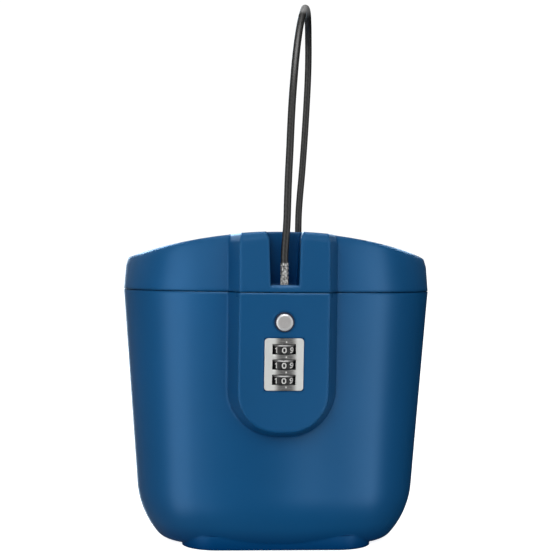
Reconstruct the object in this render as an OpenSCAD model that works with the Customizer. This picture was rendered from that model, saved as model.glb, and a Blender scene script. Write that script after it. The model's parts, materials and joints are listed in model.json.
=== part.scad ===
/* [Shell] */
// Width of the safe at the line where lid and tub meet
width = 165; // [156:1:176]
// Depth of the tub at that line, without the lock housing
depth = 109; // [105:1:114]
// Height of the line where lid and tub meet
split_z = 134.5; // [128:0.5:142]
// Height of the lid above that line, at its crown
lid_h = 30.7; // [28.7:0.5:34.7]
// Wall thickness of tub and lid
wall = 3.2; // [2.6:0.1:3.6]
// Draft of the moulded walls, in degrees
draft = 4.5; // [3:0.25:5]
// Radius of the wide arc that rounds the tub's bottom edge
bottom_r = 46; // [42:1:50]
// Radius of the tighter arc that it runs into at the floor
floor_r = 10; // [8:0.5:12]
// Where the two arcs meet, in degrees below the horizontal
bottom_turn = 40; // [37:1:43]
// Gap between the tub's rim and the lid's edge
split_gap = 0.4; // [0.3:0.05:0.6]

/* [Lid] */
// Radius of the crown, seen from the front
crown_r = 240; // [210:5:300]
// Height of the bevel band round the lid's top edge
bevel_h = 3.8; // [2.5:0.1:4.6]
// Width of the bevel band, seen from above
bevel_w = 1.3; // [0.8:0.1:2.4]

/* [Foot] */
// How far the tub's floor stands off the ground on its foot
foot_h = 1; // [0.8:0.1:2.4]
// Width of the foot
foot_w = 100; // [92:1:106]
// Depth of the foot
foot_d = 69; // [60:1:72]
// Radius of the foot's corners
foot_r = 19; // [15:1:21]
// Radius of the foot's bowed front and back
foot_bow = 340; // [250:10:500]

/* [Rim and seal] */
// Height of the tub's inner rim above the split
rim_h = 3; // [2:0.1:4]
// Thickness of the rim
rim_t = 1.6; // [1.2:0.1:2]
// Free space between rim and lid
rim_gap = 0.5; // [0.4:0.05:0.8]
// Height of the rubber seal
seal_h = 2.6; // [2:0.1:3.2]

/* [Lock housing] */
// How far the housing stands out from the tub
proud = 11; // [9:0.5:12]
// Width of the housing's flat face
face_w = 45.2; // [43:0.2:48.6]
// Radius of the face's lower corners
face_r = 20; // [16:0.5:21]
// Height of the face below the split
face_h = 70.4; // [68:0.2:76]
// Slope of the housing's side walls, in degrees
flare = 21; // [16:0.5:24]
// Thickness of the housing's face
face_wall = 3; // [2.6:0.1:3.2]
// Thickness of the deck that closes the housing's top
deck_t = 2.2; // [1.8:0.1:2.6]

/* [Dial] */
// Radius of a number wheel
wheel_r = 6.5; // [6.3:0.05:6.6]
// Height of a number wheel
wheel_h = 4.6; // [4.2:0.1:4.8]
// Distance between the wheels
wheel_pitch = 7.7; // [7.4:0.05:8]
// How far the wheels show in front of the plate
wheel_out = 0.8; // [0.5:0.05:1]
// Distance of the middle wheel below the split
dial_drop = 35.9; // [34.5:0.1:36.5]
// Width of the dial plate
plate_w = 19.5; // [18.5:0.1:21]
// Height of the dial plate
plate_h = 26.3; // [25.8:0.1:27.2]
// Radius of the dial plate's corners
plate_r = 1.6; // [1:0.1:2.4]
// Thickness of the dial plate
plate_t = 1.2; // [1:0.1:1.4]
// How far the plate stands out of the face
plate_out = 0.6; // [0.3:0.05:0.8]
// Width of a window in the plate
window_w = 11.8; // [11:0.1:12.6]
// Height of a window in the plate
window_h = 5.2; // [5:0.05:5.6]
// Radius of the spindle that the wheels turn on
spindle_r = 1.5; // [1.3:0.05:1.6]

/* [Button and bolt] */
// Radius of the push button
button_r = 4.15; // [3.8:0.05:4.4]
// Distance of the button below the split
button_drop = 14.6; // [14:0.1:15.4]
// Travel of the button, and how far it stands out
travel = 2.2; // [2:0.05:2.3]
// Radius of the bolt
bolt_r = 2.2; // [1.9:0.05:2.4]
// Length of the bolt behind the button
bolt_l = 13.3; // [13:0.1:13.6]
// Thickness of the steel strike
strike_t = 1; // [0.8:0.05:1.1]
// Width of the strike's tab
strike_w = 12; // [10:0.5:13]

/* [Hinge] */
// Radius of the hinge pin
pin_r = 1.5; // [1.2:0.1:1.8]
// Radius of the hinge knuckles
knuckle_r = 3.8; // [3.4:0.1:4]
// Distance of the pin behind the tub's wall
pin_out = 1.2; // [0.8:0.1:1.6]
// Width of the lid's knuckle
lid_knuckle_w = 23.4; // [20:0.2:26]
// Width of each of the tub's knuckles
tub_knuckle_w = 18; // [14:0.5:20]
// Height of the web that carries a knuckle
web_h = 11; // [8:0.5:13]

/* [Cable] */
// Diameter of the coated cable
cable_d = 3.8; // [3.4:0.1:4]
// Width of the notch at its floor
notch_w = 14.4; // [13.6:0.1:15]
// Depth of the notch behind the face
notch_d = 15.5; // [14.5:0.1:16]
// Height of the notch's floor above the split
floor_h = 4; // [3.8:0.1:4.4]
// Thickness of the notch's floor
floor_t = 2; // [1.8:0.1:2.2]
// Length of the front ferrule above the floor
ferrule_l = 11; // [10.5:0.1:11.5]
// Radius of the front ferrule
ferrule_r = 2.1; // [2:0.05:2.3]

/* [Hidden] */
$fn = 96;
fit = 0.05;
play = 0.3;
// Step that keeps the housing's crown clear of the faceted skin's
seam = 0.12;

// The oval plan is four tangent arcs, two long ones and two rounded ends. They meet where the
// normal runs 7 across to 24 along, which keeps the seams of the four sectors exact
across = 0.28;
along = 0.96;
plan_span = round(5 * (width - depth) / (across + along - 1)) / 10;
half_w = width / 2;
end_x = across * plan_span;
end_r = half_w - end_x;
long_y = along * plan_span;
long_r = end_r + plan_span;
half_d = long_r - long_y;
lid_z = split_z + split_gap;
crown_z = split_z + lid_h;
button_edge = 0.7;
button_front = proud + travel * cos(draft) - (button_drop - button_r + button_edge) * sin(draft);
mid_y = (button_front - pin_out - knuckle_r) / 2;
face_y = -half_d - proud;
pin_y = half_d + pin_out;

// Dial and bolt, in the frame of the housing's face
wheel_y = wheel_r - wheel_out - plate_out;
wheel_gap = wheel_pitch - wheel_h;
hub_r = 2.2;
spacer_r = hub_r - 0.2;
gate_in = 3.6;
gate_out = 4.4;
groove_r = 5.9;
groove_d = 2;
gate_w = 1.8;
tooth_t = 0.8;
tooth_w = 1.2;
arm_t = 0.8;
tooth_y = wheel_y + hub_r + play;
comb_y = wheel_y + wheel_r + play;
comb_t = 0.8;
button_back = 1.6;
bolt_tip = button_back + bolt_l;
bush_r = button_r + 0.8;
bush_end = 6.6;
guide_y = 7.2;
guide_t = 1.4;
collar_r = bolt_r + 0.8;
case_x = 13.5;
case_wall = 1.5;
case_y = face_wall + play;
case_back = bolt_tip + travel + 0.5;
flange_y = 9;
flange_t = 1.4;
ear_t = 1.6;
ear_low = -dial_drop - wheel_pitch - wheel_h / 2 - 2.5;
ear_high = -dial_drop + wheel_pitch + wheel_h / 2 + 0.6;
case_low = ear_low - ear_t - 1.2;
case_high = -deck_t - case_back * sin(draft) - 0.5;
screw_x = 17;
screw_zs = [-8, -46];
screw_r = 0.9;
boss_r = 2.8;
housing_d = 15.2;
deck_d = case_back + case_wall + 1;
deck_w = 48;

// The strike's tab is an arc about the hinge pin, just behind the tip of the bolt
tip_y = face_y + bolt_tip * cos(draft) + button_drop * sin(draft) - pin_y;
tip_z = bolt_tip * sin(draft) - button_drop * cos(draft);
strike_r = norm([tip_y, tip_z]) - play;
strike_turn = atan2(-tip_z, -tip_y) + 2.4;
strike_y = pin_y - strike_r;
strike_slot = [strike_w + 3, 3.6];
strike_plate_w = 34;
strike_plate_d = 6.8;
strike_plate_t = 1.5;
strike_screw_x = 13.6;
block_w = 22;
block_d = 23;
tongue_d = long_y - sqrt(long_r * long_r - pow(face_w / 2 + 6, 2)) - face_y + wall - 0.3;
front_y = face_y + (lid_h - bevel_h) * tan(draft);
ferrule_y = face_y + 5;
neck_r = 1.3;
head_r = 2.5;
port = [13.5, 22];
port_z = crown_height(port) - 0.8;
port_r = 3.6;
port_t = 4.2;
port_flange_r = 6;
rear_ferrule_l = 9;

// Route of the cable's centre line, from the front ferrule to the rear one
route = [
    [0, -60.5, 149.5], [0, -60.5, 154], [0.4, -60.8, 161], [0.9, -61.3, 170], [1.1, -61.9, 181],
    [1.4, -62.3, 193], [1.9, -62.2, 205], [2.4, -61.3, 217.5], [3.1, -59.2, 230], [4.2, -55.5, 243],
    [5.5, -50, 254.5], [7.2, -42.3, 265.5], [9.1, -33.5, 274.5], [11.1, -24, 281.5], [13.1, -14, 285.8],
    [15.1, -3.5, 285.6], [16.5, 6, 280.8], [17.4, 13.5, 273], [18, 19, 263.5], [18.2, 23.5, 252],
    [17.9, 26.2, 239], [17.3, 27.2, 225.5], [16.5, 27, 212], [15.5, 26, 198.5], [14.4, 24.5, 186.5],
    [13.7, 22.8, 177], [13.5, 22, 169.5], [13.5, 22, 164], [13.5, 22, 158.3]
];
// Sides of the cable's tube
cable_sides = 8;
spring_turns = 5;
spring_wire = 0.35;

// Height of the crown over a point of the plan
function crown_height(p) = crown_z - crown_r + sqrt(crown_r * crown_r - p[0] * p[0]);

// Turns the children's section round the oval. The section has the outline at x = 0, grows
// towards -x, and may reach $reach deep
module shell_sweep() {
    far_x = across * width;
    far_y = along * width;
    for (turn = [0, 180]) rotate([0, 0, turn]) {
        intersection() {
            translate([0, long_y, 0]) rotate_extrude() translate([long_r, 0]) {
                $reach = half_d + 5;
                children();
            }
            translate([0, 0, -10]) linear_extrude(2 * width) polygon([
                [-end_x, 0], [end_x, 0], [end_x + far_x, -far_y], [-end_x - far_x, -far_y]
            ]);
        }
        intersection() {
            // Clipped at the axis, since a corner that only reaches it may round to beyond it
            translate([end_x, 0, 0]) rotate_extrude() intersection() {
                translate([end_r, 0]) {
                    $reach = end_r + 1;
                    children();
                }
                square([width, 2 * width]);
            }
            translate([0, 0, -10]) linear_extrude(2 * width) polygon([
                [end_x, 0], [end_x + far_x, -far_y], [end_x + 2 * width, 0], [end_x + far_x, far_y]
            ]);
        }
    }
}

function below(turn) = [cos(turn), -sin(turn)];

// Half section of the tub's form, its wall set in by skin and its floor at floor_z. The tight
// arc stands 0.02 proud of the wide one's end, so that the two cross cleanly
module tub_section(skin, floor_z, top_z) {
    r = bottom_r - skin;
    r2 = floor_r - skin;
    step = r + 0.02 - r2;
    wide_z = floor_z + r2 + step * sin(bottom_turn);
    wide = [-skin - (split_z - wide_z) * tan(draft) - r / cos(draft), wide_z];
    tight = [wide[0] + step * cos(bottom_turn), floor_z + r2];
    polygon([
        [-$reach, floor_z], [tight[0], floor_z], tight + (r2 - 0.05) * below(bottom_turn),
        wide + (r - 0.02) * below(draft), [-skin + (top_z - split_z) * tan(draft), top_z],
        [-$reach, top_z]
    ]);
    intersection() {
        translate(wide) circle(r, $fn = 180);
        polygon([
            wide + 0.7 * r * below(draft - 3), wide + 1.3 * r * below(draft - 3),
            wide + 1.3 * r * below(bottom_turn), wide + 0.7 * r * below(bottom_turn)
        ]);
    }
    translate(tight) intersection() {
        circle(r2);
        polygon([[0, 0], 2 * r2 * below(bottom_turn - 6), [2 * r2, -2 * r2], [0, -2 * r2]]);
    }
}

// The frame of the housing's face: x to the right, y into the safe, z up along the face
module on_face() {
    translate([0, face_y, split_z]) rotate([draft, 0, 0]) children();
}

// Everything is drawn about the tub's middle and then set back to the middle of the whole
module placed() {
    translate([0, mid_y, 0]) children();
}

// A U-shaped block with flared sides, as deep as from y0 to y1 behind the face
module housing_form(inset, y0, y1, top) {
    w = face_w / 2 - inset;
    r = face_r - inset;
    side = face_w / 2 - face_r;
    arc_z = face_r - face_h;
    g0 = y0 * tan(flare);
    g1 = y1 * tan(flare);
    for (s = [0, 1]) mirror([s, 0, 0])
        translate([side, 0, arc_z]) rotate([-90, 0, 0])
            rotate_extrude(angle = 90)
                polygon([[0, y0], [r + g0, y0], [r + g1, y1], [0, y1]]);
    translate([-side, 0, 0]) rotate([90, 0, 90]) linear_extrude(2 * side)
        polygon([[y0, arc_z], [y0, arc_z - r - g0], [y1, arc_z - r - g1], [y1, arc_z]]);
    translate([0, 0, arc_z]) linear_extrude(top - arc_z)
        polygon([[-w - g0, y0], [w + g0, y0], [w + g1, y1], [-w - g1, y1]]);
}

module face_bore(x, z, r, y0, y1) {
    translate([x, y0, z]) rotate([-90, 0, 0]) cylinder(r = r, h = y1 - y0);
}

module hinge_rod(r, w) {
    translate([-w / 2, pin_y, split_z]) rotate([0, 90, 0]) cylinder(r = r, h = w);
}

// Knuckle with the web that carries it, going down for the tub and up for the lid
module knuckle(w, up) {
    hinge_rod(knuckle_r, w);
    s = up ? 1 : -1;
    base = up ? split_gap : 0;
    root = -pin_out - wall + 0.4;
    translate([-w / 2, pin_y, split_z]) rotate([90, 0, 90]) linear_extrude(w)
        polygon([
            [root, s * base], [0, s * base],
            [knuckle_r * cos(40), s * knuckle_r * sin(40)], [root + 1.4, s * web_h], [root, s * web_h]
        ]);
}

// Plan of the foot that the tub's rounded bottom runs into
module foot_plan()
    intersection() {
        rounded(foot_w, foot_d, foot_r);
        for (s = [-1, 1]) translate([0, s * (foot_bow - foot_d / 2)]) circle(foot_bow, $fn = 720);
    }

module rounded(w, h, r) {
    square([w, h - 2 * r], center = true);
    square([w - 2 * r, h], center = true);
    for (x = [-1, 1], y = [-1, 1]) translate([x * (w / 2 - r), y * (h / 2 - r)]) circle(r);
}

module body_shell() color("#1b4c78") placed() {
    difference() {
        union() {
            difference() {
                union() {
                    shell_sweep() tub_section(0, foot_h, split_z);
                    linear_extrude(foot_h + wall + 3) foot_plan();
                    intersection() {
                        on_face() housing_form(0, 0, housing_d, 4);
                        translate([-width, -depth, 0]) cube([2 * width, depth, split_z]);
                    }
                }
                shell_sweep() tub_section(wall, foot_h + wall, split_z + 1);
                on_face() housing_form(wall, face_wall, housing_d + 5, -deck_t);
            }
            // Deck over the lock, behind the housing's wall
            translate([-deck_w / 2, face_y + face_wall, split_z - deck_t])
                cube([deck_w, deck_d - face_wall, deck_t]);
            on_face() for (x = [-screw_x, screw_x], z = screw_zs)
                face_bore(x, z, boss_r, face_wall - 0.5, flange_y);
            difference() {
                shell_sweep() translate([0, split_z]) polygon([
                    [-wall + 0.4, -8], [-wall - rim_gap - rim_t, -4.5],
                    [-wall - rim_gap - rim_t, rim_h], [-wall - rim_gap, rim_h],
                    [-wall - rim_gap, -0.5], [-wall + 0.4, -0.5]
                ]);
                translate([-28, -depth, split_z - 20]) cube([56, depth - 36, 40]);
            }
            for (s = [-1, 1]) translate([s * (lid_knuckle_w + tub_knuckle_w + 0.6) / 2, 0, 0])
                knuckle(tub_knuckle_w, false);
        }
        on_face() {
            translate([-plate_w / 2 - 0.1, -5, -dial_drop - plate_h / 2 - 0.1])
                cube([plate_w + 0.2, 5 + plate_t - plate_out, plate_h + 0.2]);
            translate([-wheel_r - 0.5, -1, -dial_drop - wheel_pitch - wheel_h / 2 - 0.6])
                cube([2 * wheel_r + 1, face_wall + 2, 2 * wheel_pitch + wheel_h + 1.2]);
            face_bore(0, -button_drop, bush_r + fit, -1, face_wall + 1);
            for (x = [-screw_x, screw_x], z = screw_zs)
                face_bore(x, z, screw_r + fit, face_wall + 1, flange_y + 1);
        }
        // Slot that the strike enters
        translate([-strike_slot[0] / 2, strike_y - 2.2, split_z - 10])
            cube([strike_slot[0], strike_slot[1] + 1.2, 20]);
        hinge_rod(knuckle_r + 0.5, lid_knuckle_w + 0.6);
        hinge_rod(pin_r + 0.03, 100);
    }
}

module dial_plate() color("#c3c6c4") placed() on_face()
    difference() {
        translate([0, -plate_out, -dial_drop]) rotate([-90, 0, 0])
            linear_extrude(plate_t) rounded(plate_w, plate_h, plate_r);
        for (i = [-1:1])
            translate([-window_w / 2, -5, -dial_drop + i * wheel_pitch - window_h / 2])
                cube([window_w, 10, window_h]);
    }

module lock_case() color("#26282b") placed() on_face()
    difference() {
        union() {
            difference() {
                translate([-case_x, case_y, case_low])
                    cube([2 * case_x, case_back + case_wall - case_y, case_high - case_low]);
                translate([-case_x + case_wall, case_y - 1, case_low + case_wall])
                    cube([2 * (case_x - case_wall), case_back + 1 - case_y, case_high - case_low - 2 * case_wall]);
            }
            for (s = [0, 1], z = screw_zs) mirror([s, 0, 0])
                translate([case_x - 1, flange_y, z - 3.5]) cube([screw_x - case_x + 4.2, flange_t, 7]);
            // Ears that hold the spindle, and the wall that guides the bolt
            for (z = [ear_low - ear_t, ear_high])
                translate([-case_x + 0.5, case_y, z])
                    cube([2 * case_x - 1, case_back + 0.5 - case_y, ear_t]);
            translate([-case_x + 0.5, guide_y, -button_drop - 6.5])
                cube([2 * case_x - 1, guide_t, button_drop + 6.5 + case_high - 0.5]);
        }
        translate([0, wheel_y, ear_low - 5]) cylinder(r = spindle_r + fit, h = ear_high - ear_low + 10);
        face_bore(0, -button_drop, bolt_r + fit, guide_y - 1, guide_y + guide_t + 1);
        translate([-4, comb_y - play, ear_high - 1]) cube([8, case_back - comb_y + play, ear_t + 2]);
        for (x = [-screw_x, screw_x], z = screw_zs)
            face_bore(x, z, screw_r + 0.2, flange_y - 1, flange_y + flange_t + 1);
        // Slot for the strike in the case's top
        translate([-strike_slot[0] / 2, case_back - 4.2, case_high - case_wall - 1])
            cube([strike_slot[0], 4.2, case_wall + 3]);
    }

module lock_case_screws() color("#9a9c9e") placed() on_face()
    for (x = [-screw_x, screw_x], z = screw_zs)
        difference() {
            union() {
                face_bore(x, z, screw_r, face_wall + 1.6, flange_y + flange_t + 0.5);
                face_bore(x, z, 1.9, flange_y + flange_t, flange_y + flange_t + 1.3);
            }
            for (turn = [0, 90])
                translate([x, flange_y + flange_t + 1.3, z]) rotate([0, turn, 0])
                    cube([2.4, 1.4, 0.5], center = true);
        }

module dial_spindle() color("#9a9c9e") placed() on_face()
    translate([0, wheel_y, ear_low - ear_t - 0.6])
        cylinder(r = spindle_r, h = ear_high - ear_low + 2 * ear_t + 1.2);

module wheel_spacers() color("#d8d8d4") placed() on_face() {
    lows = [ear_low, for (i = [-1:1]) -dial_drop + i * wheel_pitch + wheel_h / 2];
    highs = [for (i = [-1:1]) -dial_drop + i * wheel_pitch - wheel_h / 2, ear_high];
    for (i = [0:3]) translate([0, wheel_y, lows[i] + 0.1]) difference() {
        cylinder(r = spacer_r, h = highs[i] - lows[i] - 0.2);
        translate([0, 0, -1]) cylinder(r = spindle_r + fit, h = 20);
    }
}

module detent_spring() color("#b5b7b9") placed() on_face() {
    low = -dial_drop - wheel_pitch - wheel_h / 2 - 0.4;
    high = -dial_drop + wheel_pitch + wheel_h / 2 + 0.4;
    leaf_x = wheel_r + 1.6;
    difference() {
        translate([leaf_x, wheel_y - 1.5, low]) cube([0.4, 3, high - low]);
        for (i = [-1, 0]) translate([leaf_x - 1, wheel_y - 2, -dial_drop + (i + 0.5) * wheel_pitch - 0.3])
            cube([3, 3, 0.6]);
    }
    for (i = [-1:1]) translate([wheel_r + 0.9, wheel_y, -dial_drop + i * wheel_pitch - 1.2]) {
        cylinder(r = 0.7, h = 2.4);
        translate([0, -0.3, 0]) cube([0.9, 0.6, 2.4]);
    }
    for (z = [low, high - 0.4]) translate([leaf_x, wheel_y - 1.5, z])
        cube([case_x - case_wall - leaf_x - fit, 3, 0.4]);
    translate([case_x - case_wall - 0.4 - fit, wheel_y + 1.2, low])
        cube([0.4, flange_y + 3 - wheel_y, high - low]);
}

module button_bush() color("#1f2123") placed() on_face()
    difference() {
        union() {
            face_bore(0, -button_drop, bush_r, -0.25, bush_end);
            face_bore(0, -button_drop, bush_r + 1.2, face_wall + fit, face_wall + 1.2);
        }
        face_bore(0, -button_drop, button_r + 0.1, -1, bush_end + 1);
    }

// A closed tube along points, with its rings turned about a direction that it never runs along
function ring(c, t, ref, r, n) =
    let (u = cross(t, ref) / norm(cross(t, ref)), v = cross(u, t) / norm(t))
    [for (i = [0:n - 1]) c + r * (cos(360 * i / n) * u + sin(360 * i / n) * v)];

module tube(points, r, n, ref) {
    last = len(points) - 1;
    rings = [for (i = [0:last]) ring(points[i], points[min(i + 1, last)] - points[max(i - 1, 0)], ref, r, n)];
    polyhedron(
        points = [for (one = rings) each one],
        faces = [
            [for (j = [0:n - 1]) j],
            for (i = [0:last - 1], j = [0:n - 1]) let (a = i * n + j, b = i * n + (j + 1) % n)
                each [[a, a + n, b + n], [a, b + n, b]],
            [for (j = [n - 1:-1:0]) last * n + j]
        ]);
}

module plunger_spring() color("#b5b7b9") placed() on_face() {
    steps = 8 * spring_turns;
    r = bolt_r + 0.3 + spring_wire;
    y0 = button_back + spring_wire + 0.1;
    y1 = guide_y - spring_wire - 0.1;
    tube([for (i = [0:steps]) [
            r * cos(45 * i), y0 + (y1 - y0) * i / steps, -button_drop + r * sin(45 * i)
        ]], spring_wire, 6, [0, 1, 0]);
}

module hinge_pin() color("#9a9c9e") placed()
    hinge_rod(pin_r, lid_knuckle_w + 2 * tub_knuckle_w + 1.4);

// Corners of the lid's skin round the oval: the direction of each, its arc's centre and radius.
// They keep clear of the seams between the arcs
arc_half = asin(across);
long_steps = 12;
end_steps = 28;
spots = [
    for (side = [-1, 1]) each concat(
        [for (i = [0:long_steps - 1])
            [side * 90 - arc_half + 2 * arc_half * (i + 0.5) / long_steps, [0, -side * long_y], long_r]],
        [for (i = [0:end_steps - 1])
            [side * 90 + arc_half + (180 - 2 * arc_half) * (i + 0.5) / end_steps, [-side * end_x, 0], end_r]]
    )
];
function oval_at(k, skin) = spots[k][1] + (spots[k][2] - skin) * [cos(spots[k][0]), sin(spots[k][0])];

// Where the wall, set in by skin, meets the crown lowered by drop
function wall_skin(k, skin, drop) =
    skin + (crown_height(oval_at(k, skin + 1.5)) - drop - lid_z) * tan(draft);
function edge_at(k, skin, drop, more) =
    let (p = oval_at(k, wall_skin(k, skin, drop) + more))
    [p[0], p[1], crown_height(p) - drop];
function crown_ring(edge, share, drop) =
    [for (p = edge) [p[0] * share, p[1] * share, crown_height([p[0] * share, p[1] * share]) - drop]];

// The lid's skin: a drafted wall, a bevel band and a crown, hollow from below
module lid_skin() {
    n = len(spots);
    ks = [0:n - 1];
    shares = [0.78, 0.52, 0.26];
    foot_out = [for (k = ks) let (p = oval_at(k, 0)) [p[0], p[1], lid_z]];
    low_bevel = [for (k = ks) edge_at(k, 0, bevel_h, 0)];
    top_edge = [for (k = ks) let (p = oval_at(k, wall_skin(k, 0, bevel_h) + bevel_w))
        [p[0], p[1], crown_height(p)]];
    foot_in = [for (k = ks) let (p = oval_at(k, wall)) [p[0], p[1], lid_z]];
    top_in = [for (k = ks) edge_at(k, wall, wall + 1, 0)];
    inner_edge = [for (k = ks) edge_at(k, wall, wall, 1.6)];
    rings = [
        for (s = [shares[2], shares[1], shares[0]]) crown_ring(top_edge, s, 0),
        top_edge, low_bevel, foot_out, foot_in, top_in, inner_edge,
        for (s = shares) crown_ring(inner_edge, s, wall)
    ];
    last = len(rings) - 1;
    apex = len(rings) * n;
    polyhedron(
        points = [for (one = rings) each one, [0, 0, crown_z], [0, 0, crown_z - wall]],
        faces = [
            for (j = ks) [apex, (j + 1) % n, j],
            for (i = [0:last - 1], j = ks) let (a = i * n + j, b = i * n + (j + 1) % n)
                each [[a, b, b + n], [a, b + n, a + n]],
            for (j = ks) [apex + 1, last * n + j, last * n + (j + 1) % n]
        ]);
}

// The crown over the lock housing, lowered by drop, with the bevel band along its front
module crown_form(drop, bevelled) {
    top = crown_r - drop;
    translate([0, 0, crown_z - crown_r]) rotate([-90, 0, 0]) rotate([0, 0, -105])
        rotate_extrude(angle = 30) polygon(concat(
            [[crown_r - 50, -depth], [crown_r - 50, -10], [top, -10]],
            bevelled ? [[top, front_y + bevel_w], [top - bevel_h, front_y], [top - bevel_h, -depth]] :
                [[top, -depth]]
        ));
}

// What lies inside the bevel band along one side of the housing
module side_bevel(w, drop, s)
    mirror([s, 0, 0]) translate([w, front_y, crown_height([w, 0]) - drop])
        rotate([0, 0, -flare]) rotate([-asin(w / crown_r) * sin(flare), 0, 0]) rotate([90, 0, 0])
            linear_extrude(80, center = true) polygon([
                [-90, 20], [-bevel_w * (1 + 20 / bevel_h), 20], [bevel_w * (40 / bevel_h - 1), -40], [-90, -40]
            ]);

// The lid's part of the lock housing, as far back as deep
module lid_housing(inset, drop, bevelled, deep) {
    w = face_w / 2 - inset;
    intersection() {
        translate([0, face_y, lid_z]) rotate([-draft, 0, 0]) translate([0, 0, -10]) linear_extrude(60)
            polygon([
                [-w - inset * tan(flare), inset], [w + inset * tan(flare), inset],
                [w + deep * tan(flare), deep], [-w - deep * tan(flare), deep]
            ]);
        crown_form(drop, bevelled);
        side_bevel(w, drop, 0);
        side_bevel(w, drop, 1);
    }
}

module lid_shell() color("#2a5c8c") placed() {
    floor_z = split_z + floor_h;
    seat_z = floor_z - floor_t;
    top = crown_height([notch_w / 2, face_y]);
    difference() {
        union() {
            difference() {
                union() {
                    lid_skin();
                    lid_housing(0, -seam, true, tongue_d);
                }
                lid_housing(wall, wall + seam, false, block_d);
            }
            // Block round the notch, with the bosses for the strike
            intersection() {
                union() {
                    translate([-block_w / 2, face_y + 0.8, lid_z])
                        cube([block_w, block_d - 0.8, crown_z]);
                    for (s = [-1, 1]) translate([s * strike_screw_x, strike_y, lid_z])
                        cylinder(r = 3.3, h = crown_z);
                }
                crown_form(1.2, false);
                translate([-30, face_y + (lid_h - 2) * tan(draft) + 1, lid_z]) cube([60, block_d, crown_z]);
            }
            // Ridge that the seal hangs from
            difference() {
                shell_sweep() translate([0, split_z]) polygon([
                    [-wall + 0.6, rim_h + seal_h + 0.6], [-wall - 2.8, rim_h + seal_h + 0.6],
                    [-wall - 2.8, rim_h + seal_h + 1.8], [-wall + 0.3, rim_h + seal_h + 4.7]
                ]);
                translate([-28, -depth, split_z - 20]) cube([56, depth - 36, 60]);
            }
            knuckle(lid_knuckle_w, true);
            translate([port[0], port[1], port_z - port_t]) cylinder(r = 8, h = port_t - 1);
        }
        // The cable's notch, open to the front and the top
        translate([0, face_y + notch_d, 0]) rotate([90, 0, 0]) linear_extrude(notch_d + 10)
            polygon([
                [-notch_w / 2, floor_z], [notch_w / 2, floor_z],
                [notch_w / 2 + 0.8, top - 3.4], [notch_w / 2 + 2.4, top + 0.4], [notch_w / 2 + 2.4, top + 20],
                [-notch_w / 2 - 2.4, top + 20], [-notch_w / 2 - 2.4, top + 0.4], [-notch_w / 2 - 0.8, top - 3.4]
            ]);
        // Chamfer along the front of the notch's floor
        translate([0, face_y + (floor_z - lid_z) * tan(draft), floor_z]) rotate([45, 0, 0])
            cube([notch_w, 1.4, 1.4], center = true);
        // Recess for the strike's flange and the ferrule's head
        translate([-strike_plate_w / 2 - 0.5, face_y + 2, lid_z - 1])
            cube([strike_plate_w + 1, block_d, seat_z - lid_z + 1]);
        // Keyhole that the ferrule's neck hooks into
        translate([0, ferrule_y, seat_z - 1]) cylinder(r = neck_r + 0.15, h = floor_t + 2);
        translate([-neck_r - 0.15, ferrule_y, seat_z - 1]) cube([2 * neck_r + 0.3, 4, floor_t + 2]);
        translate([0, ferrule_y + 4.4, seat_z - 1]) cylinder(r = head_r + 0.4, h = floor_t + 2);
        for (s = [-1, 1]) translate([s * strike_screw_x, strike_y, seat_z - 1])
            cylinder(r = 1.1 + fit, h = 10);
        for (s = [-1, 1]) translate([s * (lid_knuckle_w + tub_knuckle_w + 0.6) / 2, 0, 0])
            hinge_rod(knuckle_r + 0.5, tub_knuckle_w + 0.6);
        hinge_rod(pin_r + 0.06, 100);
        translate([port[0], port[1], port_z]) cylinder(r = port_flange_r + 0.3, h = 10);
        translate([port[0], port[1], port_z - 10]) cylinder(r = port_r + fit, h = 20);
        translate([-width, -depth, lid_z - 60]) cube([2 * width, depth + 40, 60]);
    }
}

module lid_seal() color("#3a3d40") placed()
    difference() {
        shell_sweep() translate([-wall - 0.6 - 1.9, split_z + rim_h + 0.4]) square([1.9, seal_h + 0.15]);
        translate([-30, -depth, split_z - 20]) cube([60, depth - 34, 60]);
    }

module strike_plate() color("#9fa2a4") placed() {
    seat_z = split_z + floor_h - floor_t;
    difference() {
        union() {
            translate([-strike_plate_w / 2, strike_y - 2.8, seat_z - strike_plate_t - fit])
                cube([strike_plate_w, strike_plate_d, strike_plate_t]);
            translate([0, pin_y, split_z]) rotate([0, 90, 0]) rotate([0, 0, -90.6])
                rotate_extrude(angle = strike_turn + 0.6)
                    translate([strike_r - strike_t, -strike_w / 2]) square([strike_t, strike_w]);
        }
        on_face() face_bore(0, -button_drop, bolt_r + 0.4, 5, 30);
        for (s = [-1, 1]) translate([s * strike_screw_x, strike_y, seat_z - strike_plate_t - 1]) {
            cylinder(r = 1.3, h = 5);
            translate([0, 0, 1 - fit]) cylinder(r1 = 2.4, r2 = 1.3, h = 1.1);
        }
    }
}

module strike_screws() color("#9a9c9e") placed() {
    low = split_z + floor_h - floor_t - strike_plate_t - fit;
    for (s = [-1, 1]) translate([s * strike_screw_x, strike_y, low]) difference() {
        union() {
            cylinder(r1 = 2.3, r2 = 1.1, h = 1.2);
            cylinder(r = 1.1, h = 9.5);
        }
        for (turn = [0, 90]) rotate([0, 0, turn]) cube([2.4, 0.5, 1.2], center = true);
    }
}

module cable_grommet() color("#1c1d1f") placed() translate([port[0], port[1], port_z])
    difference() {
        rotate_extrude() polygon([
            [cable_d / 2 + 0.1, -port_t - 1.5], [port_r + 1.4, -port_t - 1.5], [port_r + 1.4, -port_t - fit],
            [port_r, -port_t - fit], [port_r, fit], [port_flange_r, fit], [port_flange_r, 0.9],
            [port_flange_r - 1.2, 1.8], [cable_d / 2 + 1.2, 2.4], [cable_d / 2 + 0.1, 2.4]
        ]);
    }

module security_cable() color("#3c3c3e") placed()
    tube(cable_points(), cable_d / 2, cable_sides, [1, 0, 0]);

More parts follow.
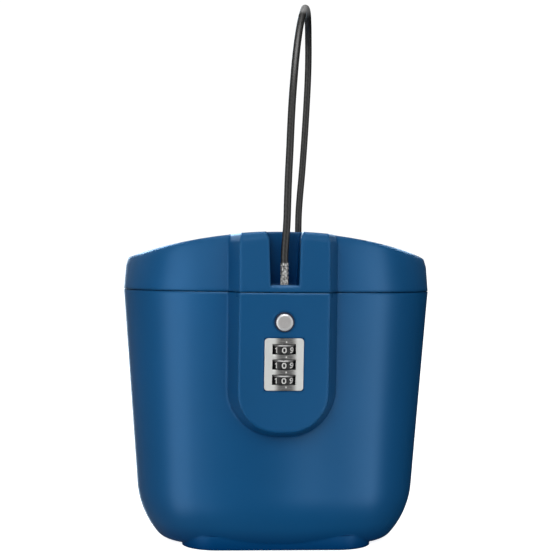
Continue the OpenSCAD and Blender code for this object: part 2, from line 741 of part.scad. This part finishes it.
// The route, with its ends drawn to the faces of the two ferrules
function cable_points() = [
    for (i = [0:len(route) - 1])
        i == 0 ? [0, ferrule_y, ferrule_top()] :
        i == len(route) - 1 ? [port[0], port[1], port_z - port_t - 1.5 - fit] : route[i]
];
function ferrule_top() = split_z + floor_h + ferrule_l;

module front_ferrule() color("#a0a2a1") placed() translate([0, ferrule_y, split_z + floor_h]) {
    difference() {
        translate([0, 0, 3.2]) cylinder(r = ferrule_r, h = ferrule_l - 3.2);
        for (z = [4.6, 6.8, 9]) translate([0, 0, z]) rotate_extrude() translate([ferrule_r + 0.25, 0]) circle(0.5);
    }
    for (s = [-1, 1]) translate([s * 0.95, 0, fit]) cylinder(r = 1.15, h = 3.6);
    translate([0, 0, -floor_t - 0.1]) cylinder(r = neck_r, h = floor_t + 1);
    translate([0, 0, -floor_t - 1.5]) cylinder(r = head_r, h = 1.45);
}

module rear_ferrule() color("#a0a2a1") placed()
    translate([port[0], port[1], port_z - port_t - 1.5 - fit - rear_ferrule_l]) difference() {
        cylinder(r = 3.4, h = rear_ferrule_l);
        for (z = [2.4, 4.5, 6.6]) translate([0, 0, z]) rotate_extrude() translate([3.7, 0]) circle(0.6);
    }

module push_button() color("#aeb0ae") placed() on_face()
    translate([0, 0, -button_drop]) rotate([-90, 0, 0]) rotate_extrude()
        polygon([
            [0, -travel], [button_r - button_edge, -travel], [button_r, 0.5 - travel], [button_r, button_back],
            [0, button_back]
        ]);

module lock_bolt() color("#9fa2a4") placed() on_face()
    translate([0, 0, -button_drop]) rotate([-90, 0, 0]) rotate_extrude()
        polygon([
            [0, button_back], [bolt_r, button_back], [bolt_r, guide_y + guide_t + 0.1],
            [collar_r, guide_y + guide_t + 0.1], [collar_r, comb_y], [bolt_r, comb_y],
            [bolt_r, bolt_tip - 0.5], [bolt_r - 0.5, bolt_tip], [0, bolt_tip]
        ]);

module release_comb() color("#b5b7b9") placed() on_face() {
    difference() {
        union() {
            translate([-3, comb_y, ear_low + 0.3])
                cube([6, comb_t, -button_drop - ear_low - 0.3]);
            translate([-5, comb_y, -button_drop - 4]) cube([10, comb_t, 8]);
        }
        face_bore(0, -button_drop, bolt_r + fit, comb_y - 1, comb_y + 2);
    }
    for (i = [-1:1]) {
        low = -dial_drop + i * wheel_pitch - wheel_h / 2 - 0.5 - arm_t;
        translate([-tooth_w / 2, tooth_y, low]) {
            cube([tooth_w, comb_y - tooth_y + comb_t / 2, arm_t]);
            cube([tooth_w, tooth_t, arm_t + 0.5 + groove_d - 0.4]);
        }
    }
}

// A wheel with ten finger grooves. Its underside has a ring wall with one gate for the comb's tooth
module number_wheel(i) placed() on_face()
    translate([0, wheel_y, -dial_drop + i * wheel_pitch - wheel_h / 2]) difference() {
        cylinder(r = wheel_r, h = wheel_h);
        translate([0, 0, -1]) cylinder(r = spindle_r + fit, h = wheel_h + 2);
        translate([0, 0, -1]) rotate_extrude() {
            translate([hub_r, 0]) square([gate_in - hub_r, 1 + groove_d]);
            translate([gate_out, 0]) square([groove_r - gate_out, 1 + groove_d]);
        }
        translate([-gate_w / 2, hub_r + 0.5, -1]) cube([gate_w, groove_r - hub_r - 1, 1 + groove_d]);
        for (k = [0:9]) rotate([0, 0, 18 + 36 * k]) translate([wheel_r + 0.25, 0, -1])
            cylinder(r = 0.45, h = wheel_h + 2);
    }

module number_wheel_top() color("#2a2a2c") number_wheel(1);
module number_wheel_middle() color("#2a2a2c") number_wheel(0);
module number_wheel_bottom() color("#2a2a2c") number_wheel(-1);

body_shell();
dial_plate();
lock_case();
lock_case_screws();
dial_spindle();
wheel_spacers();
detent_spring();
button_bush();
plunger_spring();
hinge_pin();
lid_shell();
lid_seal();
strike_plate();
strike_screws();
cable_grommet();
security_cable();
front_ferrule();
rear_ferrule();
push_button();
lock_bolt();
release_comb();
number_wheel_top();
number_wheel_middle();
number_wheel_bottom();
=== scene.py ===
import bpy
import bmesh
import json
import math
from mathutils import Vector, Matrix


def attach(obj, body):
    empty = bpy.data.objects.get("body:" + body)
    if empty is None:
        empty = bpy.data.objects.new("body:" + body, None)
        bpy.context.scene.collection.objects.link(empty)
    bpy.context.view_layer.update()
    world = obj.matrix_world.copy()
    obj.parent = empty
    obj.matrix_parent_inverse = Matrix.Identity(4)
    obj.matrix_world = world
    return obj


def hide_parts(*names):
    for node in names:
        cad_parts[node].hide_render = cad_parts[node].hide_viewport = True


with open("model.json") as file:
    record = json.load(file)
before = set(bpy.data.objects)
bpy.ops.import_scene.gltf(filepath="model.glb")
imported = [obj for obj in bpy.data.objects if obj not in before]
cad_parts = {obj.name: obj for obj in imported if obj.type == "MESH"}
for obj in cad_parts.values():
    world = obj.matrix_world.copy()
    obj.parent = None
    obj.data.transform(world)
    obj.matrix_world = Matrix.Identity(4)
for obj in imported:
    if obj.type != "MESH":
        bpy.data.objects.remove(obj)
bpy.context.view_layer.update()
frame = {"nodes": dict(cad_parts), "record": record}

NODES = frame["nodes"]
scene = bpy.context.scene
MM = 0.001

# The safe is drawn about the tub's middle, which lies this far behind the origin, in mm
MID_Y = 3.6592
# The lock housing's face leans back by the tub's draft; FACE is its top edge, at the seam
DRAFT = math.radians(4.5)
FACE_Y = -65.492
SEAM_Z = 134.5
FACE = Matrix.Translation((0, (FACE_Y + MID_Y) * MM, SEAM_Z * MM)) @ Matrix.Rotation(DRAFT, 4, "X")
# Places below the seam and behind the face, in mm
DIAL_DROP = 35.9
WHEEL_PITCH = 7.7
WHEEL_R = 6.5
WHEEL_Y = 5.1
BUTTON_DROP = 14.6
# Radii at which the two shells' edges and the plate's edges round the light, in metres
SHELL_EDGE = 0.0024
PLATE_EDGE = 0.0007


def put(x, y, z):
    """A point of the tub's frame, in mm, in the scene's frame."""
    return Vector((x * MM, (y + MID_Y) * MM, z * MM))


# Camera: level, a little to the left of the safe's axis, with the photograph's slight roll
IMAGE = 552
SENSOR = 36
FOCAL_PIXELS = 1377
SHIFT_PIXELS = (-0.6, -17)
CAMERA_AWAY = 750
CAMERA_Z = 151.4
VIEW = math.radians(3.83)
ROLL = math.radians(0.55)
cam_data = bpy.data.cameras.new("camera")
cam_data.sensor_width = SENSOR
cam_data.lens = FOCAL_PIXELS / IMAGE * SENSOR
cam_data.shift_x = SHIFT_PIXELS[0] / IMAGE
cam_data.shift_y = SHIFT_PIXELS[1] / IMAGE
cam_data.clip_start = 0.01
camera = bpy.data.objects.new("camera", cam_data)
scene.collection.objects.link(camera)
camera.matrix_world = (
    Matrix.Translation(put(-CAMERA_AWAY * math.sin(VIEW), -CAMERA_AWAY * math.cos(VIEW), CAMERA_Z))
    @ Matrix.Rotation(-VIEW, 4, "Z")
    @ Matrix.Rotation(math.pi / 2, 4, "X")
    @ Matrix.Rotation(ROLL, 4, "Z")
)
scene.camera = camera


class Tree:
    """Adds nodes to a node tree. Each helper returns the output socket that carries its result."""

    def __init__(self, tree):
        self.tree = tree
        tree.nodes.clear()

    def add(self, kind, **values):
        node = self.tree.nodes.new(kind)
        for key, value in values.items():
            if hasattr(node, key):
                setattr(node, key, value)
            else:
                node.inputs[key.replace("_", " ")].default_value = value
        return node

    def feed(self, socket, value):
        """Links an output socket to an input, or sets the input to a plain value."""
        if isinstance(value, bpy.types.NodeSocket):
            self.tree.links.new(value, socket)
        else:
            socket.default_value = value

    def coords(self, scale=(1, 1, 1), offset=(0, 0, 0)):
        place = self.add("ShaderNodeTexCoord")
        mapping = self.add("ShaderNodeMapping", Scale=scale, Location=offset)
        self.feed(mapping.inputs["Vector"], place.outputs["Object"])
        return mapping.outputs["Vector"]

    def axes(self, coords):
        node = self.add("ShaderNodeSeparateXYZ")
        self.feed(node.inputs["Vector"], coords)
        return node.outputs

    def noise(self, coords, scale, detail=3.0, roughness=0.5):
        node = self.add("ShaderNodeTexNoise", Scale=scale, Detail=detail, Roughness=roughness)
        self.feed(node.inputs["Vector"], coords)
        return node.outputs["Fac"]

    def ramp(self, source, stops):
        node = self.add("ShaderNodeValToRGB")
        elements = node.color_ramp.elements
        while len(elements) < len(stops):
            elements.new(0.5)
        for element, (at, color) in zip(elements, stops):
            element.position = at
            element.color = (*color, 1)
        self.feed(node.inputs["Fac"], source)
        return node.outputs["Color"]

    def fit(self, source, start, end, low, high, kind="LINEAR"):
        """Turns start to end into low to high, and stops there."""
        node = self.add("ShaderNodeMapRange", interpolation_type=kind)
        for key, value in zip(("From Min", "From Max", "To Min", "To Max"), (start, end, low, high)):
            node.inputs[key].default_value = value
        self.feed(node.inputs["Value"], source)
        return node.outputs["Result"]

    def math(self, operation, *sources, clamp=False):
        node = self.add("ShaderNodeMath", operation=operation, use_clamp=clamp)
        for socket, source in zip(node.inputs, sources):
            self.feed(socket, source)
        return node.outputs["Value"]

    def vector(self, operation, out, *sources):
        node = self.add("ShaderNodeVectorMath", operation=operation)
        for socket, source in zip(node.inputs, sources):
            self.feed(socket, source)
        return node.outputs[out]

    def mix(self, factor, low, high):
        """Mixes two colours. The colour sockets of the Mix node are its inputs 6 and 7 and output 2."""
        node = self.add("ShaderNodeMix", data_type="RGBA")
        self.feed(node.inputs[0], factor)
        self.feed(node.inputs[6], low)
        self.feed(node.inputs[7], high)
        return node.outputs[2]


class Nodes(Tree):
    """A material of one Principled shader."""

    def __init__(self, name):
        self.mat = bpy.data.materials.new(name)
        self.mat.use_nodes = True
        super().__init__(self.mat.node_tree)
        out = self.add("ShaderNodeOutputMaterial")
        self.shader = self.add("ShaderNodeBsdfPrincipled")
        self.feed(out.inputs["Surface"], self.shader.outputs["BSDF"])

    def set(self, **values):
        for key, value in values.items():
            self.feed(self.shader.inputs[key.replace("_", " ")], value)

    def bump(self, height, strength, distance, edge=0.0, normal=None):
        node = self.add("ShaderNodeBump", Strength=strength, Distance=distance)
        self.feed(node.inputs["Height"], height)
        if edge:
            bevel = self.add("ShaderNodeBevel", samples=6, Radius=edge)
            normal = bevel.outputs["Normal"]
        if normal is not None:
            self.feed(node.inputs["Normal"], normal)
        self.set(Normal=node.outputs["Normal"])


def scaled(color, factor):
    return tuple(c * factor for c in color)


def moulded_blue(name):
    """Satin moulded plastic with a fine grain and rounded edges, with painted shade: darker, deeper
    blue and duller in hollows and towards the bottom.
    """
    blue = (0.0004, 0.066, 0.19)
    painted_shade_blue = (0.0001, blue[1] * 0.36, blue[2] * 0.52, 1)
    n = Nodes(name)
    co = n.coords()
    grain = n.noise(co, 2600, 2.0, 0.6)
    flow = n.noise(co, 14, 3.0, 0.5)
    open_color = n.ramp(flow, [(0.3, scaled(blue, 0.93)), (0.7, scaled(blue, 1.06))])
    # Painted shade: ambient occlusion and height turn the colour darker and deeper blue in hollows and
    # at the foot, and turn the reflections down there
    hollow = n.add("ShaderNodeAmbientOcclusion", samples=8, Distance=0.014)
    height = n.axes(co)["Z"]
    low = n.fit(height, 0.0, 0.012, 0.2, 1.0)
    sheen = n.fit(height, 0.001, 0.014, 0.1, 1.0)
    depth = n.fit(hollow.outputs["AO"], 0.3, 0.95, 0.0, 1.0)
    unshaded_part = n.math("MULTIPLY", depth, low)
    gloss = n.fit(unshaded_part, 0.0, 0.85, 0.05, 0.5)
    n.set(
        Base_Color=n.mix(unshaded_part, painted_shade_blue, open_color),
        Specular_IOR_Level=n.math("MULTIPLY", gloss, sheen),
        Specular_Tint=(0.38, 0.67, 1, 1),
        IOR=1.46,
        Roughness=n.fit(grain, 0, 1, 0.3, 0.38),
    )
    n.bump(grain, 0.12, 0.00003, SHELL_EDGE)
    return n.mat


def plain_steel(name):
    """Steel of the inner parts, with a fine even grain."""
    color = (0.55, 0.56, 0.58)
    n = Nodes(name)
    grain = n.noise(n.coords(), 900, 4.0, 0.65)
    n.set(
        Base_Color=n.ramp(grain, [(0.25, scaled(color, 0.82)), (0.75, color)]),
        Roughness=n.fit(grain, 0, 1, 0.25, 0.4),
        Metallic=1.0,
    )
    n.bump(grain, 0.1, 0.00004, 0.0002)
    return n.mat


def plain(name, color, low, high, scale=900, strength=0.15, edge=0.0003):
    """Plastic, rubber or paint with a fine grain and a little change of tone."""
    n = Nodes(name)
    grain = n.noise(n.coords(), scale, 3.0, 0.55)
    n.set(
        Base_Color=n.ramp(grain, [(0.3, scaled(color, 0.85)), (0.7, color)]),
        Roughness=n.fit(grain, 0, 1, low, high),
    )
    n.bump(grain, strength, 0.00003, edge)
    return n.mat


def dial_steel(name):
    """Bright rolled plate that goes darker and streaky between the windows."""
    bright, mid, dark = (0.62, 0.63, 0.615), (0.3, 0.3, 0.29), (0.09, 0.09, 0.09)
    n = Nodes(name)
    side = n.math("SUBTRACT", n.axes(n.coords())["X"], 0.0009)
    middle = n.fit(n.math("ABSOLUTE", side), 0.0022, 0.0062, 1.0, 0.0, "SMOOTHSTEP")
    streaks = n.noise(n.coords((0.12, 1, 1)), 3200, 2.0, 0.7)
    amount = n.math("MULTIPLY", middle, n.fit(streaks, 0, 1, 0.3, 1.5), clamp=True)
    lines = n.noise(n.coords((1, 60, 60)), 240, 4.0, 0.65)
    n.set(
        Base_Color=n.ramp(amount, [(0.0, bright), (0.45, mid), (1.0, dark)]),
        Roughness=n.fit(lines, 0, 1, 0.3, 0.45),
        Metallic=0.35,
    )
    n.bump(lines, 0.25, 0.00004, PLATE_EDGE)
    return n.mat


def crimped_metal(name):
    """Soft grey metal, crimped round the rope, with painted shade that darkens the pits between its
    ridges.
    """
    ridge, side, painted_pit_shade = (0.6, 0.6, 0.59), (0.33, 0.33, 0.32), (0.05, 0.05, 0.05)
    n = Nodes(name)
    cells = n.add("ShaderNodeTexVoronoi", Scale=1150)
    n.feed(cells.inputs["Vector"], n.coords((1, 1, 0.7)))
    away = cells.outputs["Distance"]
    # Painted shade: darker the deeper into the pits
    n.set(
        Base_Color=n.ramp(away, [(0.1, ridge), (0.45, side), (0.8, painted_pit_shade)]),
        Roughness=n.fit(away, 0, 1, 0.32, 0.5),
        Metallic=0.3,
    )
    n.bump(away, 0.8, -0.0003)
    return n.mat


def wheel_black(name):
    """Black wheel whose upper rim has a painted highlight: paler and glossier, with normals tilted up
    as if rounded, so that it catches the light.
    """
    painted_glint_grey = (0.2, 0.2, 0.2, 1)
    n = Nodes(name)
    co = n.coords()
    axis = FACE.to_3x3() @ Vector((0, 0, 1))
    middle = axis.dot(FACE @ Vector((0, WHEEL_Y * MM, -DIAL_DROP * MM)))
    along = n.vector("DOT_PRODUCT", "Value", co, axis)
    # Height on its own wheel, the same for all three
    half = WHEEL_PITCH / 2 * MM
    own = n.math("WRAP", n.math("SUBTRACT", along, middle), half, -half)
    # Painted highlight on the upper rim of each wheel
    rim = n.fit(own, 0.0014, 0.0017, 0.0, 1.0)
    grain = n.noise(co, 1200, 3.0, 0.55)
    black = n.ramp(grain, [(0.3, (0.006, 0.006, 0.007)), (0.7, (0.009, 0.009, 0.01))])
    n.set(
        Base_Color=n.mix(rim, black, painted_glint_grey),
        Specular_IOR_Level=n.fit(rim, 0, 1, 0.2, 1.0),
        Roughness=n.fit(grain, 0, 1, 0.3, 0.4),
    )
    lift = n.add("ShaderNodeVectorMath", operation="SCALE")
    n.feed(lift.inputs[0], axis)
    n.feed(lift.inputs["Scale"], rim)
    flat = n.add("ShaderNodeNewGeometry").outputs["Normal"]
    tilt = n.vector("ADD", "Vector", flat, lift.outputs["Vector"])
    n.bump(grain, 0.1, 0.00003, normal=n.vector("NORMALIZE", "Vector", tilt))
    return n.mat


def button_steel(name):
    """Satin steel with a painted highlight that makes the button lighter towards its rim."""
    painted_rim_highlight = (0.66, 0.67, 0.68, 1)
    n = Nodes(name)
    grain = n.noise(n.coords(), 1400, 4.0, 0.65)
    satin = n.ramp(grain, [(0.25, (0.344, 0.336, 0.332)), (0.75, (0.42, 0.41, 0.405))])
    centre = FACE @ Vector((0, 0, -BUTTON_DROP * MM))
    radius = n.vector("LENGTH", "Value", n.coords((1, 0, 1), (-centre.x, 0, -centre.z)))
    # Painted highlight, lighter towards the button's rim
    rim = n.fit(radius, 0.0027, 0.0042, 0.0, 1.0, "SMOOTHSTEP")
    n.set(
        Base_Color=n.mix(rim, satin, painted_rim_highlight),
        Roughness=n.fit(grain, 0, 1, 0.36, 0.48),
        Metallic=0.4,
    )
    n.bump(grain, 0.15, 0.00004, 0.0004)
    return n.mat


def cable_sheath(name):
    """Dark satin sheath over a laid steel rope, whose strands show faintly."""
    painted_top_highlight = (0.3, 0.3, 0.3, 1)
    n = Nodes(name)
    co = n.coords()
    wave = n.add(
        "ShaderNodeTexWave", wave_type="BANDS", bands_direction="DIAGONAL", Scale=260, Distortion=1.2)
    n.feed(wave.inputs["Vector"], co)
    lay = wave.outputs["Fac"]
    dark = n.ramp(lay, [(0.0, (0.006, 0.006, 0.006)), (1.0, (0.017, 0.0165, 0.016))])
    # Painted highlight: the sheath is paler at the front of the loop's top, where it bends most
    place = n.axes(co)
    high = n.fit(place["Z"], 0.2795, 0.283, 0.0, 1.0, "SMOOTHSTEP")
    front = n.fit(place["Y"], -0.008, 0.004, 1.0, 0.0, "SMOOTHSTEP")
    n.set(
        Base_Color=n.mix(n.math("MULTIPLY", high, front), dark, painted_top_highlight),
        Roughness=0.45,
        Specular_IOR_Level=0.42,
    )
    n.bump(lay, 0.12, 0.00005)
    return n.mat


MAKERS = {
    "blue_shell": moulded_blue,
    "blue_lid": moulded_blue,
    "plate_steel": dial_steel,
    "inner_steel": plain_steel,
    "button_steel": button_steel,
    "ferrule_metal": crimped_metal,
    "wheel_plastic": wheel_black,
    "cable_coating": cable_sheath,
}
# Colour, least and most roughness, then grain scale, bump strength and edge radius where they differ
PLAIN = {
    "bush_plastic": ((0.002, 0.012, 0.04), 0.4, 0.55),
    "black_plastic": ((0.012, 0.012, 0.014), 0.42, 0.58),
    "spacer_plastic": ((0.62, 0.62, 0.6), 0.4, 0.5),
    "seal_rubber": ((0.02, 0.021, 0.023), 0.6, 0.75, 700, 0.3),
    "grommet_rubber": ((0.012, 0.012, 0.013), 0.5, 0.65, 700, 0.2),
    "digit_paint": ((0.6, 0.6, 0.585), 0.5, 0.6, 1500, 0.1, 0.0),
    "mark_paint": ((0.66, 0.66, 0.64), 0.5, 0.6, 1500, 0.1, 0.0),
}
MATS = {name: make(name) for name, make in MAKERS.items()}
MATS.update({name: plain(name, *values) for name, values in PLAIN.items()})

slots = {row["node"]: row["material_slot"] for row in frame["record"]["subparts"]}
for name, obj in NODES.items():
    obj.data.materials.clear()
    obj.data.materials.append(MATS["bush_plastic" if name == "button_bush" else slots[name]])


def smooth_group():
    """Joins the faces of a CAD mesh and shades it smooth, with edges above the given angle sharp."""
    tree = bpy.data.node_groups.new("smooth_by_angle", "GeometryNodeTree")
    tree.interface.new_socket("Geometry", in_out="INPUT", socket_type="NodeSocketGeometry")
    tree.interface.new_socket("Angle", in_out="INPUT", socket_type="NodeSocketFloat")
    tree.interface.new_socket("Geometry", in_out="OUTPUT", socket_type="NodeSocketGeometry")
    start, end, merge, angle, sharp, faces, edges = (
        tree.nodes.new(kind) for kind in (
            "NodeGroupInput", "NodeGroupOutput", "GeometryNodeMergeByDistance",
            "GeometryNodeInputMeshEdgeAngle", "FunctionNodeCompare",
            "GeometryNodeSetShadeSmooth", "GeometryNodeSetShadeSmooth"))
    merge.inputs["Distance"].default_value = 1e-6
    sharp.operation = "LESS_EQUAL"
    edges.domain = "EDGE"
    for a, out, b, socket in (
        (start, "Geometry", merge, "Geometry"),
        (merge, "Geometry", faces, "Geometry"),
        (faces, "Geometry", edges, "Geometry"),
        (angle, "Unsigned Angle", sharp, "A"),
        (start, "Angle", sharp, "B"),
        (sharp, "Result", edges, "Shade Smooth"),
        (edges, "Geometry", end, "Geometry"),
    ):
        tree.links.new(a.outputs[out], b.inputs[socket])
    return tree


SHARP_ANGLE = math.radians(16)
SMOOTH = smooth_group()
SMOOTH_ANGLE = next(i.identifier for i in SMOOTH.interface.items_tree if i.name == "Angle")
for name in ("body_shell", "lid_shell"):
    modifier = NODES[name].modifiers.new("smooth", "NODES")
    modifier.node_group = SMOOTH
    modifier[SMOOTH_ANGLE] = SHARP_ANGLE


def new_mesh(name, verts, faces, material, body):
    mesh = bpy.data.meshes.new(name)
    mesh.from_pydata([tuple(v) for v in verts], [], faces)
    mesh.update()
    obj = bpy.data.objects.new(name, mesh)
    scene.collection.objects.link(obj)
    mesh.materials.append(MATS[material])
    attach(obj, body)


# The cable: one smooth line from the front ferrule to the grommet in the lid
CABLE_D = 3.8
ROUTE = [
    (0, -60.5, 149.5), (0, -60.5, 154), (0.4, -60.8, 161), (0.9, -61.3, 170), (1.1, -61.9, 181),
    (1.4, -62.3, 193), (1.9, -62.2, 205), (2.4, -61.3, 217.5), (3.1, -59.2, 230), (4.2, -55.5, 243),
    (5.5, -50, 254.5), (7.2, -42.3, 265.5), (9.1, -33.5, 274.5), (11.1, -24, 281.5), (13.1, -14, 285.8),
    (15.1, -3.5, 285.6), (16.5, 6, 280.8), (17.4, 13.5, 273), (18, 19, 263.5), (18.2, 23.5, 252),
    (17.9, 26.2, 239), (17.3, 27.2, 225.5), (16.5, 27, 212), (15.5, 26, 198.5), (14.4, 24.5, 186.5),
    (13.7, 22.8, 177), (13.5, 22, 169.5), (13.5, 22, 164), (13.5, 22, 158.3),
]
route = [put(*p) for p in ROUTE]
line = bpy.data.curves.new("cable_line", "CURVE")
line.dimensions = "3D"
line.bevel_depth = CABLE_D / 2 * MM
line.bevel_resolution = 5
line.resolution_u = 8
line.use_fill_caps = True
spline = line.splines.new("BEZIER")
spline.bezier_points.add(len(route) - 1)
for point, at in zip(spline.bezier_points, route):
    point.co = at
    point.handle_left_type = point.handle_right_type = "AUTO"
line.materials.append(MATS["cable_coating"])
cable = bpy.data.objects.new("cable_sheath", line)
scene.collection.objects.link(cable)
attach(cable, "lid")
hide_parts("security_cable")

# Digits, drawn as strokes in a unit square and wrapped round the wheels; sizes in mm
STROKES = {
    0: [[(0, 0.25), (0, 0.75), (0.25, 1), (0.75, 1), (1, 0.75), (1, 0.25), (0.75, 0), (0.25, 0),
         (0, 0.25)]],
    1: [[(0.2, 0.78), (0.55, 1), (0.55, 0)]],
    2: [[(0, 0.75), (0.2, 1), (0.8, 1), (1, 0.78), (1, 0.6), (0, 0), (1, 0)]],
    3: [[(0, 1), (0.75, 1), (1, 0.8), (0.75, 0.53), (0.35, 0.53)],
        [(0.75, 0.53), (1, 0.28), (0.75, 0), (0, 0)]],
    4: [[(0.75, 0), (0.75, 1), (0, 0.3), (1, 0.3)]],
    5: [[(1, 1), (0.1, 1), (0.05, 0.55), (0.75, 0.6), (1, 0.35), (0.75, 0), (0, 0.05)]],
    6: [[(0.9, 1), (0.3, 0.9), (0, 0.5), (0, 0.25), (0.25, 0), (0.75, 0), (1, 0.28), (0.75, 0.55),
         (0.05, 0.5)]],
    7: [[(0, 1), (1, 1), (0.4, 0)]],
    8: [[(0.25, 0.53), (0, 0.75), (0.25, 1), (0.75, 1), (1, 0.75), (0.75, 0.53), (0.25, 0.53),
         (0, 0.27), (0.25, 0), (0.75, 0), (1, 0.27), (0.75, 0.53)]],
    9: [[(0.1, 0), (0.7, 0.1), (1, 0.5), (1, 0.75), (0.75, 1), (0.25, 1), (0, 0.75), (0.25, 0.45),
         (0.95, 0.5)]],
}
DIGIT_W = 1.75
DIGIT_H = 2.3
DIGIT_DROP = 0.35
DIGIT_TURN = 36
STROKE = 0.58
STROKE_STEP = 0.35
PAINT = 0.03


def stroke_sides(points, width):
    """Left and right points along a stroke, mitred at its corners and longer by half its width."""
    left, right = [], []
    last = len(points) - 1
    closed = points[0] == points[-1]
    for i, p in enumerate(points):
        a = points[i - 1] if i else (points[last - 1] if closed else p)
        b = points[i + 1] if i < last else (points[1] if closed else p)
        d0 = Vector((p[0] - a[0], p[1] - a[1]))
        d1 = Vector((b[0] - p[0], b[1] - p[1]))
        d0 = d0.normalized() if d0.length else d1.normalized()
        d1 = d1.normalized() if d1.length else d0
        t = (d0 + d1).normalized()
        n = Vector((-t.y, t.x))
        mitre = min(1.6, 1 / max(0.4, n.dot(Vector((-d1.y, d1.x)))))
        end = 0 if closed or 0 < i < last else (width / 2 if i == last else -width / 2)
        base = Vector(p) + t * end
        left.append(base + n * width / 2 * mitre)
        right.append(base - n * width / 2 * mitre)
    return left, right


def wheel_digits(index, place):
    verts, faces = [], []
    middle = -DIAL_DROP + index * WHEEL_PITCH
    r = WHEEL_R + PAINT
    for digit, strokes in STROKES.items():
        turn = math.radians(-90 - DIGIT_TURN * digit)
        for stroke in strokes:
            points = [((x - 0.5) * DIGIT_W, (y - 0.5) * DIGIT_H - DIGIT_DROP) for x, y in stroke]
            fine = []
            for a, b in zip(points, points[1:]):
                steps = max(1, int(abs(b[0] - a[0]) / STROKE_STEP))
                fine += [(a[0] + (b[0] - a[0]) * k / steps, a[1] + (b[1] - a[1]) * k / steps)
                         for k in range(steps)]
            fine.append(points[-1])
            left, right = stroke_sides(fine, STROKE)
            start = len(verts)
            for pair in zip(left, right):
                for v in pair:
                    angle = turn + v.x / r
                    at = (r * math.cos(angle), WHEEL_Y + r * math.sin(angle), middle + v.y)
                    verts.append(FACE @ (Vector(at) * MM))
            for i in range(start, len(verts) - 2, 2):
                faces.append((i, i + 1, i + 3, i + 2))
    new_mesh(f"dial_digits_{place}", verts, faces, "digit_paint", f"wheel_{place}")


for index, place in ((1, "top"), (0, "middle"), (-1, "bottom")):
    wheel_digits(index, place)

# Index marks above, between and below the windows, printed on the plate; sizes in mm
MARK_X = 1.1
MARK_Y = -0.62
MARK_RADII = (0.4, 0.5)
MARK_POINTS = 12
marks_v, marks_f = [], []
for gap, pull in ((-1.5, 0.985), (-0.5, 1), (0.5, 1), (1.5, 0.985)):
    z = -DIAL_DROP + gap * WHEEL_PITCH * pull
    start = len(marks_v)
    for k in range(MARK_POINTS):
        a = math.tau * k / MARK_POINTS
        at = (MARK_X + MARK_RADII[0] * math.cos(a), MARK_Y, z + MARK_RADII[1] * math.sin(a))
        marks_v.append(FACE @ (Vector(at) * MM))
    marks_f.append(tuple(range(start, start + MARK_POINTS)))
new_mesh("dial_index_marks", marks_v, marks_f, "mark_paint", "tub")

# Studio floor: white to the camera, and left out of the reflections
floor_mesh = bpy.data.meshes.new("studio_floor")
floor_bm = bmesh.new()
bmesh.ops.create_circle(floor_bm, cap_ends=True, segments=96, radius=30)
floor_bm.to_mesh(floor_mesh)
floor_bm.free()
floor = bpy.data.objects.new("studio_floor", floor_mesh)
scene.collection.objects.link(floor)
floor.location.z = -0.0002
floor_nodes = Nodes("studio_floor")
floor_nodes.set(
    Base_Color=(0.9, 0.9, 0.9, 1), Roughness=0.8, Emission_Color=(1, 1, 1, 1), Emission_Strength=0.86)
floor_mesh.materials.append(floor_nodes.mat)
floor.visible_glossy = False
floor.visible_diffuse = False
floor.visible_shadow = False

# World: white behind the safe, half as bright as a light, and dim in reflections, darker to the right
WHITE, ROOM, DIM = 1.05, 0.5, 0.16
world = bpy.data.worlds.new("studio")
scene.world = world
world.use_nodes = True
w = Tree(world.node_tree)
toward = w.axes(w.add("ShaderNodeTexCoord").outputs["Generated"])["X"]
white, room, seen = (
    w.add("ShaderNodeBackground", Color=(1, 1, 1, 1)) for _ in range(3))
w.feed(white.inputs["Strength"], WHITE)
w.feed(room.inputs["Strength"], ROOM)
w.feed(seen.inputs["Strength"], w.fit(toward, -0.3, 0.5, DIM, 0.0))
ray = w.add("ShaderNodeLightPath").outputs
shown = room.outputs["Background"]
for test, other in (("Is Glossy Ray", seen), ("Is Camera Ray", white)):
    choice = w.add("ShaderNodeMixShader")
    w.feed(choice.inputs["Fac"], ray[test])
    w.feed(choice.inputs[1], shown)
    w.feed(choice.inputs[2], other.outputs["Background"])
    shown = choice.outputs["Shader"]
w.feed(w.add("ShaderNodeOutputWorld").inputs["Surface"], shown)


def softbox(name, azimuth, elevation, distance, width, height, power, diffuse, glossy, color):
    """An area light that looks at the safe's middle, at a distance and size in metres."""
    data = bpy.data.lights.new(name, "AREA")
    data.shape = "RECTANGLE"
    data.size = width
    data.size_y = height
    data.energy = power
    data.color = color
    obj = bpy.data.objects.new(name, data)
    scene.collection.objects.link(obj)
    a, e = math.radians(azimuth), math.radians(elevation)
    at = Vector((math.sin(a) * math.cos(e), -math.cos(a) * math.cos(e), math.sin(e))) * distance
    obj.location = Vector((0, 0, 0.12)) + at
    obj.rotation_euler = (-at).to_track_quat("-Z", "Y").to_euler()
    obj.visible_diffuse = diffuse
    obj.visible_glossy = glossy
    return obj


# A diffuse key light, and boxes that show only as soft reflections
NEUTRAL = (1, 1, 1)
SKY = (0.6, 0.82, 1)
for row in (
    ("key", -14, 20, 1.6, 0.9, 0.9, 14, True, False, NEUTRAL),
    ("strip_left", -51, -8, 1.6, 1.0, 2.2, 23, False, True, NEUTRAL),
    ("strip_right", 48, -2, 1.6, 0.7, 1.9, 16, False, True, NEUTRAL),
    ("front_fill", 16, -21, 1.6, 0.22, 0.6, 2.1, False, True, NEUTRAL),
    ("rim_left", -170, 3, 1.6, 0.5, 1.4, 10, False, True, SKY),
    ("top", 0, 72, 1.5, 1.2, 1.0, 34, False, True, NEUTRAL),
):
    softbox(*row)
# Two boxes behind and above that light only the bevelled edges of the lid
lid_only = bpy.data.collections.new("lid_only")
lid_only.objects.link(NODES["lid_shell"])
for name, azimuth, power in (("back_left", -142, 90), ("back_right", 142, 60)):
    box = softbox(name, azimuth, 42, 1.6, 1.0, 1.0, power, False, True, SKY)
    box.light_linking.receiver_collection = lid_only

scene.view_settings.view_transform = "Standard"
